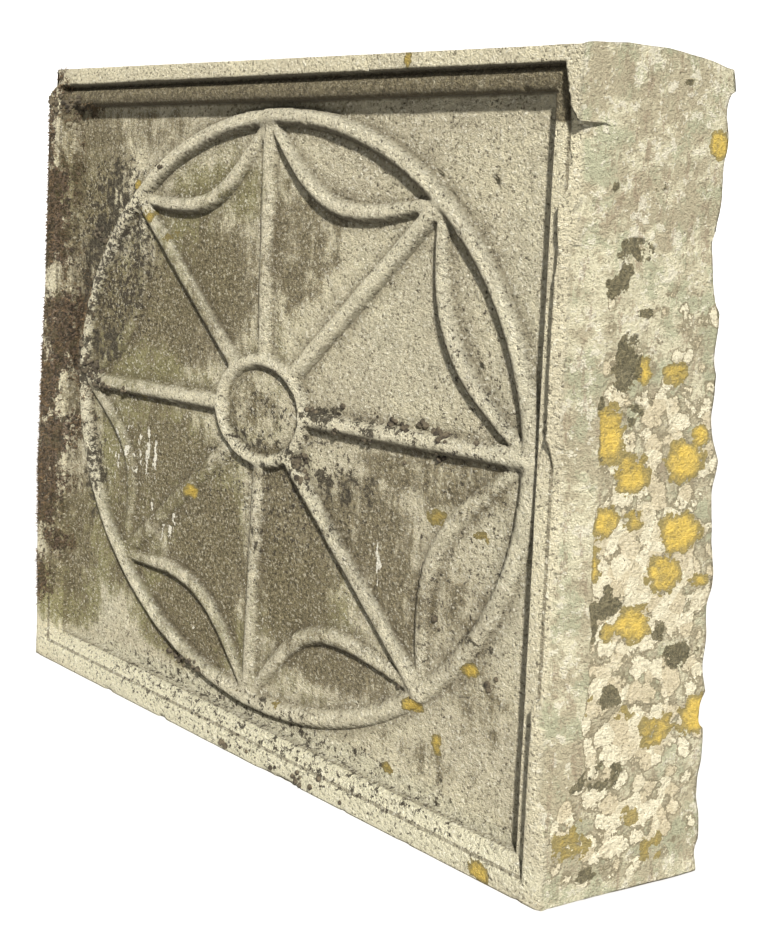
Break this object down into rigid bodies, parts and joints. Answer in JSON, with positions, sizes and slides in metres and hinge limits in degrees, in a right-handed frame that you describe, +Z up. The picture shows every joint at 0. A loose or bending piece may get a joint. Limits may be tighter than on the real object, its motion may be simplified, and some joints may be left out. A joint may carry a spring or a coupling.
{
  "type": "stone relief panel",
  "caption": "Thick weathered sandstone block whose front has a moulded frame round a sunk field with a spoked wheel and leaf-shaped arcs carved in half-round relief",
  "frame": {"origin": "middle of the stone's bounding box, on the underside it stands on", "axes": "+Z up, +X to the right along the carved front, +Y from the carved front toward the back"},
  "size_m": [0.7138, 0.1414, 0.6093],
  "materials": {
    "weathered_sandstone": "rough, weathered"
  },
  "bodies": {
    "root": {"relief_panel": "weathered_sandstone"}
  },
  "joints": []
}
